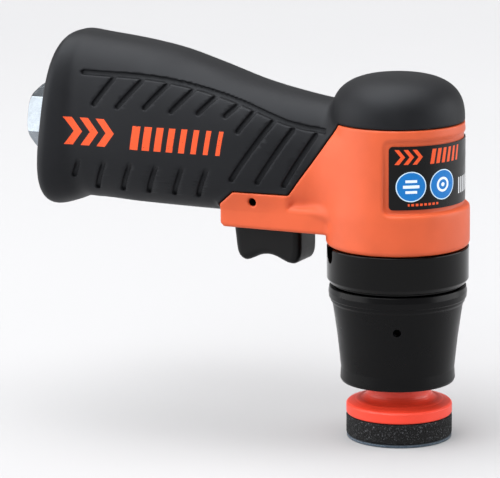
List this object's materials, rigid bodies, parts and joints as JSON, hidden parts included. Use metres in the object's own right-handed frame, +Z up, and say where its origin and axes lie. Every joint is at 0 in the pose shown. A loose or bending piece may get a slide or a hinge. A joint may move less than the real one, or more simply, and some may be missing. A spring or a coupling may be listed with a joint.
{
  "type": "orbital sander",
  "caption": "Pistol-grip air-powered random-orbital sander with a small round pad, sprung sliding trigger and hexagonal air inlet.",
  "frame": {"origin": "where the motor's axis meets the working face of the pad", "axes": "+Z up along the motor's axis, +X towards the nose, the handle running back along -X, mirror plane of the body at Y = 0"},
  "size_m": [0.143, 0.043, 0.1187],
  "materials": {
    "housing": "satin moulded orange",
    "grip": "matte moulded black",
    "label": "printed film",
    "lock_ring": "gloss",
    "shroud": "satin",
    "trigger": "satin",
    "cover": "satin",
    "steel": "ground",
    "zinc_steel": "bright zinc plate",
    "dark_steel": "oiled",
    "aluminium": "machined",
    "brass": "machined",
    "seal": "smooth",
    "felt": "felt",
    "vane": "laminate",
    "pad_flange": "satin",
    "pad_foam": "open cell",
    "pad_face": "hook"
  },
  "bodies": {
    "tool_body": {"housing": "housing", "grip_overmold": "grip", "rear_bumper": "grip", "nameplate": "label", "lock_ring": "lock_ring", "shroud": "shroud", "inlet_bushing": "zinc_steel", "inlet_screen": "steel", "inlet_o_ring": "seal", "exhaust_cover": "cover", "muffler_felt": "felt", "trigger_pin": "steel", "valve_sleeve": "brass", "valve_cap": "brass", "valve_seat": "seal", "valve_spring": "dark_steel", "sleeve_retaining_ring": "dark_steel", "sleeve_o_ring_lower": "seal", "sleeve_o_ring_upper": "seal", "stem_o_ring": "seal", "air_feed_tube": "brass", "cylinder_liner": "steel", "rear_end_plate": "aluminium", "front_end_plate": "aluminium", "locating_dowel": "steel", "case_o_ring": "seal", "wave_washer": "dark_steel", "upper_bearing_outer_race": "steel", "lower_bearing_outer_race": "steel"},
    "trigger": {"trigger": "trigger"},
    "valve": {"valve_poppet": "steel"},
    "motor": {"shaft_balancer": "dark_steel", "rotor": "steel", "rotor_key": "dark_steel", "vane_1": "vane", "vane_2": "vane", "vane_3": "vane", "vane_4": "vane", "shaft_clip": "dark_steel", "upper_bearing_inner_race": "steel", "lower_bearing_inner_race": "steel", "spindle_bearing_lower_outer_race": "steel", "spindle_bearing_upper_outer_race": "steel", "bearing_spacer": "aluminium", "bearing_retaining_ring": "dark_steel", "dust_seal": "felt"},
    "pad": {"spindle": "steel", "spindle_screw": "dark_steel", "pad_insert": "steel", "pad_plate": "pad_flange", "pad_foam": "pad_foam", "pad_hook_face": "pad_face", "spindle_bearing_lower_inner_race": "steel", "spindle_bearing_upper_inner_race": "steel"},
    "lower_cage": {"lower_bearing_balls": "brass"},
    "spindle_cages": {"spindle_bearing_lower_balls": "brass", "spindle_bearing_upper_balls": "brass"},
    "upper_cage": {"upper_bearing_balls": "brass"}
  },
  "joints": [
    {"name": "trigger_press", "type": "slide", "parent": "tool_body", "child": "trigger", "axis": [0, 0, 1], "range_m": [0, 0.0026], "stiffness_N_per_m": 2000, "springref_m": -0.002},
    {"name": "valve_lift", "type": "slide", "parent": "tool_body", "child": "valve", "axis": [0, 0, 1], "range_m": [0, 0.0026], "deforming": ["valve_spring"]},
    {"name": "rotor_spin", "type": "hinge", "parent": "tool_body", "child": "motor", "pos_m": [0, 0, 0], "axis": [0, 0, 1], "continuous": true},
    {"name": "pad_spin", "type": "hinge", "parent": "motor", "child": "pad", "pos_m": [0, 0.0012, 0], "axis": [0, 0, 1], "continuous": true},
    {"name": "upper_cage_spin", "type": "hinge", "parent": "tool_body", "child": "upper_cage", "pos_m": [0, 0, 0], "axis": [0, 0, 1], "continuous": true},
    {"name": "lower_cage_spin", "type": "hinge", "parent": "tool_body", "child": "lower_cage", "pos_m": [0, 0, 0], "axis": [0, 0, 1], "continuous": true},
    {"name": "spindle_cages_spin", "type": "hinge", "parent": "motor", "child": "spindle_cages", "pos_m": [0, 0.0012, 0], "axis": [0, 0, 1], "continuous": true}
  ],
  "couplings": [
    {"joint": "valve_lift", "follows": "trigger_press", "ratio": 1},
    {"joint": "upper_cage_spin", "follows": "rotor_spin", "ratio": 0.4},
    {"joint": "lower_cage_spin", "follows": "rotor_spin", "ratio": 0.4},
    {"joint": "spindle_cages_spin", "follows": "pad_spin", "ratio": 0.4}
  ]
}
